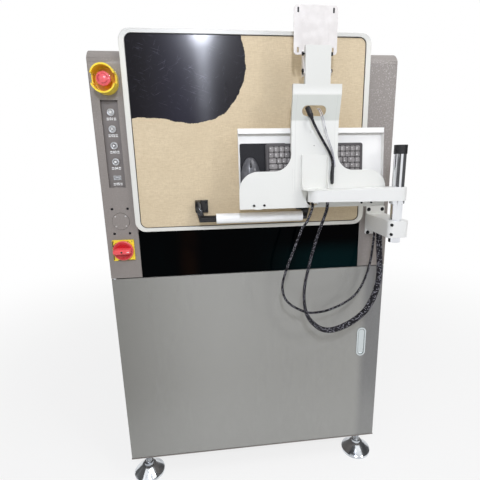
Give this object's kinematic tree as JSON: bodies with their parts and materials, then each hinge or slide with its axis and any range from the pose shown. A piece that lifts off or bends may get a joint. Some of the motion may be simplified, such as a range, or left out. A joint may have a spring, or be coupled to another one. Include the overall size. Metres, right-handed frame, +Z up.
{
  "type": "laser marking machine",
  "caption": "Free-standing enclosed laser marking machine with a lifting windowed door, push-button pillar and a swing arm carrying a screen and keyboard stand.",
  "frame": {"origin": "on the floor, under the centre of the machine's bounding box", "axes": "+Z up, -Y towards the operator in front of the machine, +X to the operator's right"},
  "size_m": [0.96, 1.15, 1.605],
  "materials": {
    "base_frame": "satin grey paint",
    "left_side_panel": "satin warm grey paint",
    "right_side_panel": "satin warm grey paint",
    "back_panel": "satin warm grey paint",
    "roof_panel": "satin warm grey paint",
    "left_pillar": "satin warm grey paint",
    "right_pillar": "satin warm grey paint",
    "deck_plate": "satin light grey paint",
    "fascia_panel": "high gloss black",
    "lower_door": "semi-gloss grey paint",
    "door_pivot_pins": "turned steel",
    "latch_body": "satin chrome",
    "latch_paddle": "satin chrome",
    "lift_door_frame": "satin cream paint",
    "lift_door_window": "dark tinted acrylic",
    "window_film": "protective kraft paper, torn at one corner",
    "handle_bar": "black paint",
    "handle_grip": "satin white sleeve",
    "guide_rails": "ground steel",
    "door_carriages": "dark anodised",
    "lift_cylinders": "clear anodised",
    "lift_rods": "hard chrome",
    "estop_shroud": "yellow moulding",
    "estop_button": "red moulding",
    "control_panel": "satin grey paint",
    "laser_push_button": "satin steel",
    "lamp_push_button": "satin steel",
    "start_push_button": "satin steel",
    "stop_push_button": "satin steel",
    "usb_socket": "bright steel shell",
    "blanking_plate": "satin warm grey paint",
    "switch_plate": "yellow plate",
    "switch_knob": "red knob",
    "mast_bracket": "satin white paint",
    "bracket_screws": "black oxide",
    "mast_pole": "polished chrome",
    "mast_cap": "black moulding",
    "mast_collar": "satin turned",
    "swing_arm": "satin white paint",
    "stand_pivot_pin": "turned steel",
    "stand_plate": "satin white paint",
    "stand_bracket": "satin white paint",
    "screen_plate": "satin white paint",
    "stand_screws": "black oxide",
    "tray_hinges": "zinc plated",
    "keyboard_tray": "satin white paint",
    "keyboard_case": "matte dark grey",
    "keyboard_keys": "matte grey",
    "mouse_pad": "matte black foam rubber",
    "mouse": "matte grey",
    "stand_lead": "black ribbed sleeve",
    "lead_plug": "black moulding",
    "braided_loop": "black braided sleeve",
    "thin_loop": "black sheath",
    "levelling_feet": "bright plated steel",
    "work_table": "clear anodised",
    "head_column": "clear anodised",
    "laser_head": "black anodised",
    "laser_source": "black paint",
    "controller_pc": "black paint"
  },
  "bodies": {
    "cabinet": {"base_frame": "base_frame", "left_side_panel": "left_side_panel", "right_side_panel": "right_side_panel", "back_panel": "back_panel", "roof_panel": "roof_panel", "left_pillar": "left_pillar", "right_pillar": "right_pillar", "deck_plate": "deck_plate", "fascia_panel": "fascia_panel", "door_pivot_pins": "door_pivot_pins", "guide_rails": "guide_rails", "lift_cylinders": "lift_cylinders", "estop_shroud": "estop_shroud", "control_panel": "control_panel", "usb_socket": "usb_socket", "blanking_plate": "blanking_plate", "switch_plate": "switch_plate", "mast_bracket": "mast_bracket", "bracket_screws": "bracket_screws", "mast_pole": "mast_pole", "mast_cap": "mast_cap", "mast_collar": "mast_collar", "braided_loop": "braided_loop", "thin_loop": "thin_loop", "levelling_feet": "levelling_feet", "work_table": "work_table", "head_column": "head_column", "laser_source": "laser_source", "controller_pc": "controller_pc"},
    "lower_door": {"lower_door": "lower_door", "latch_body": "latch_body"},
    "latch_paddle": {"latch_paddle": "latch_paddle"},
    "lift_door": {"lift_door_frame": "lift_door_frame", "lift_door_window": "lift_door_window", "window_film": "window_film", "handle_bar": "handle_bar", "handle_grip": "handle_grip", "door_carriages": "door_carriages", "lift_rods": "lift_rods"},
    "estop_button": {"estop_button": "estop_button"},
    "laser_push_button": {"laser_push_button": "laser_push_button"},
    "lamp_push_button": {"lamp_push_button": "lamp_push_button"},
    "start_push_button": {"start_push_button": "start_push_button"},
    "stop_push_button": {"stop_push_button": "stop_push_button"},
    "switch_knob": {"switch_knob": "switch_knob"},
    "arm": {"swing_arm": "swing_arm", "stand_pivot_pin": "stand_pivot_pin"},
    "stand": {"stand_plate": "stand_plate", "stand_bracket": "stand_bracket", "stand_screws": "stand_screws", "tray_hinges": "tray_hinges", "stand_lead": "stand_lead", "lead_plug": "lead_plug"},
    "screen_mount": {"screen_plate": "screen_plate"},
    "tray": {"keyboard_tray": "keyboard_tray", "keyboard_case": "keyboard_case", "keyboard_keys": "keyboard_keys", "mouse_pad": "mouse_pad", "mouse": "mouse"},
    "laser_head": {"laser_head": "laser_head"}
  },
  "joints": [
    {"name": "door_lift", "type": "slide", "parent": "cabinet", "child": "lift_door", "axis": [0, 0, 1], "range_m": [0, 0.42]},
    {"name": "door_swing", "type": "hinge", "parent": "cabinet", "child": "lower_door", "pos_m": [-0.465, -0.393, 0.46], "axis": [0, 0, -1], "range_deg": [0, 105]},
    {"name": "latch_lift", "type": "hinge", "parent": "lower_door", "child": "latch_paddle", "pos_m": [0.403, -0.3995, 0.557], "axis": [-1, 0, 0], "range_deg": [0, 35], "stiffness_Nm_per_rad": 0.05, "springref_deg": -34.38},
    {"name": "estop_press", "type": "slide", "parent": "cabinet", "child": "estop_button", "axis": [0, 1, 0], "range_m": [0, 0.006], "stiffness_N_per_m": 600, "springref_m": -0.003},
    {"name": "laser_button_press", "type": "slide", "parent": "cabinet", "child": "laser_push_button", "axis": [0, 1, 0], "range_m": [0, 0.0025], "stiffness_N_per_m": 200, "springref_m": -0.002},
    {"name": "lamp_button_press", "type": "slide", "parent": "cabinet", "child": "lamp_push_button", "axis": [0, 1, 0], "range_m": [0, 0.0025], "stiffness_N_per_m": 200, "springref_m": -0.002},
    {"name": "start_button_press", "type": "slide", "parent": "cabinet", "child": "start_push_button", "axis": [0, 1, 0], "range_m": [0, 0.0025], "stiffness_N_per_m": 200, "springref_m": -0.002},
    {"name": "stop_button_press", "type": "slide", "parent": "cabinet", "child": "stop_push_button", "axis": [0, 1, 0], "range_m": [0, 0.0025], "stiffness_N_per_m": 200, "springref_m": -0.002},
    {"name": "main_switch", "type": "hinge", "parent": "cabinet", "child": "switch_knob", "pos_m": [-0.424, -0.413, 0.916], "axis": [0, 1, 0], "range_deg": [0, 90]},
    {"name": "arm_swing", "type": "hinge", "parent": "cabinet", "child": "arm", "pos_m": [0.426, -0.549, 1.09], "axis": [0, 0, 1], "range_deg": [0, 180], "deforming": ["braided_loop", "thin_loop"]},
    {"name": "stand_swivel", "type": "hinge", "parent": "arm", "child": "stand", "pos_m": [0.175, -0.549, 1.1068], "axis": [0, 0, 1], "range_deg": [0, 12]},
    {"name": "screen_tilt", "type": "hinge", "parent": "stand", "child": "screen_mount", "pos_m": [0.175, -0.527, 1.435], "axis": [1, 0, 0], "range_deg": [-7, 7]},
    {"name": "tray_fold", "type": "hinge", "parent": "stand", "child": "tray", "pos_m": [0.175, -0.509, 1.062], "axis": [-1, 0, 0], "range_deg": [0, 12]},
    {"name": "head_height", "type": "slide", "parent": "cabinet", "child": "laser_head", "axis": [0, 0, 1], "range_m": [-0.12, 0.14]}
  ]
}
